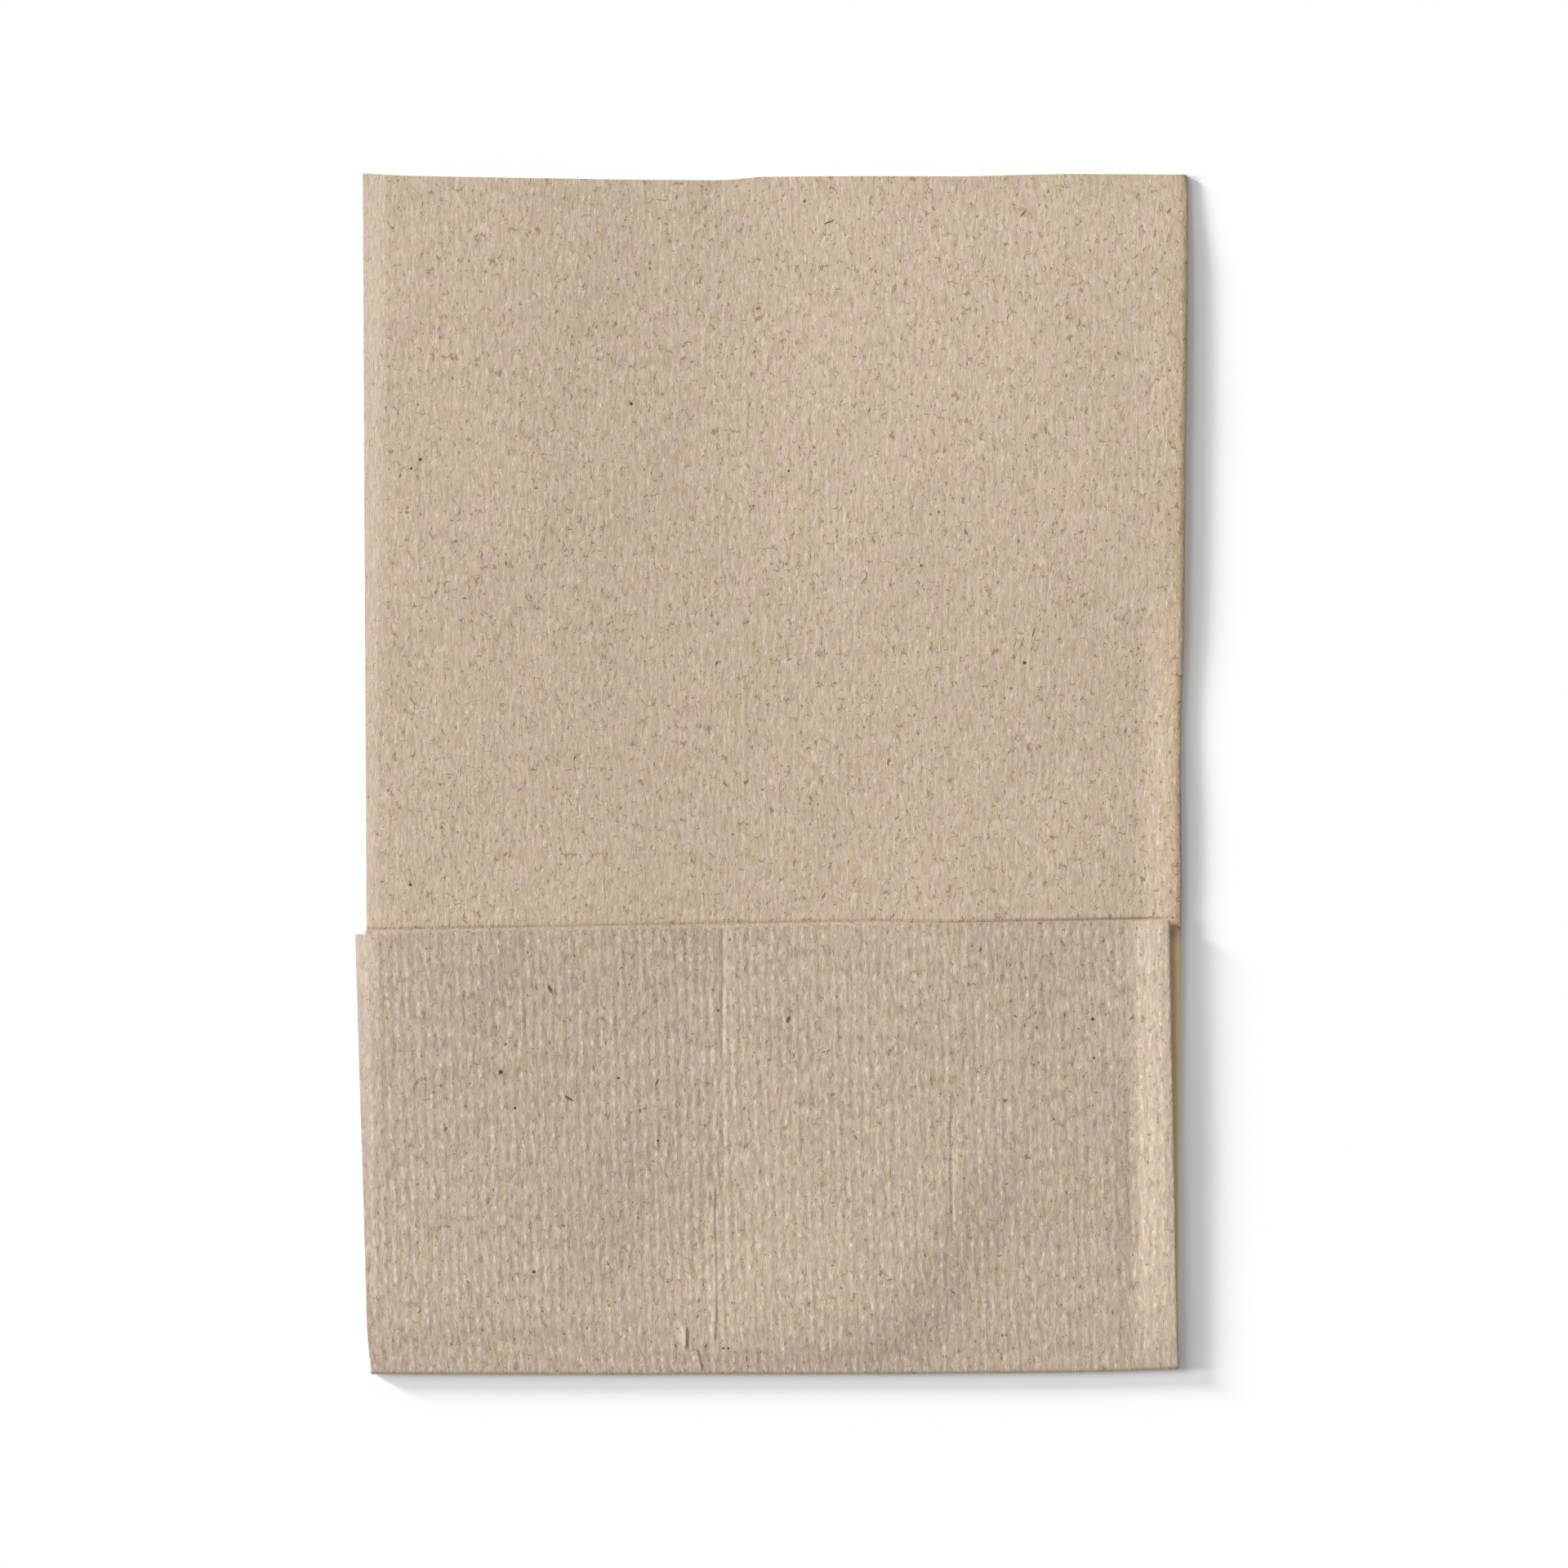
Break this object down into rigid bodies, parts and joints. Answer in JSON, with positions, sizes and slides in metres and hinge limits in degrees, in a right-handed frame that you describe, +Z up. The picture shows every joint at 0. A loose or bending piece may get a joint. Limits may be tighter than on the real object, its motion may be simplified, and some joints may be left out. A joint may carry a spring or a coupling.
{
  "type": "paper napkin",
  "caption": "Square tissue napkin folded in half along one side, with its bottom turned up over the front as a flap.",
  "frame": {"origin": "middle of the folded napkin's footprint, on the surface it lies on", "axes": "+Y from the bottom fold to the top edge, +X towards the side fold, +Z up out of the flap's side"},
  "size_m": [0.167, 0.2416, 0.0026],
  "materials": {
    "tissue_paper": "matte"
  },
  "bodies": {
    "root": {"napkin_sheet": "tissue_paper"}
  },
  "joints": []
}
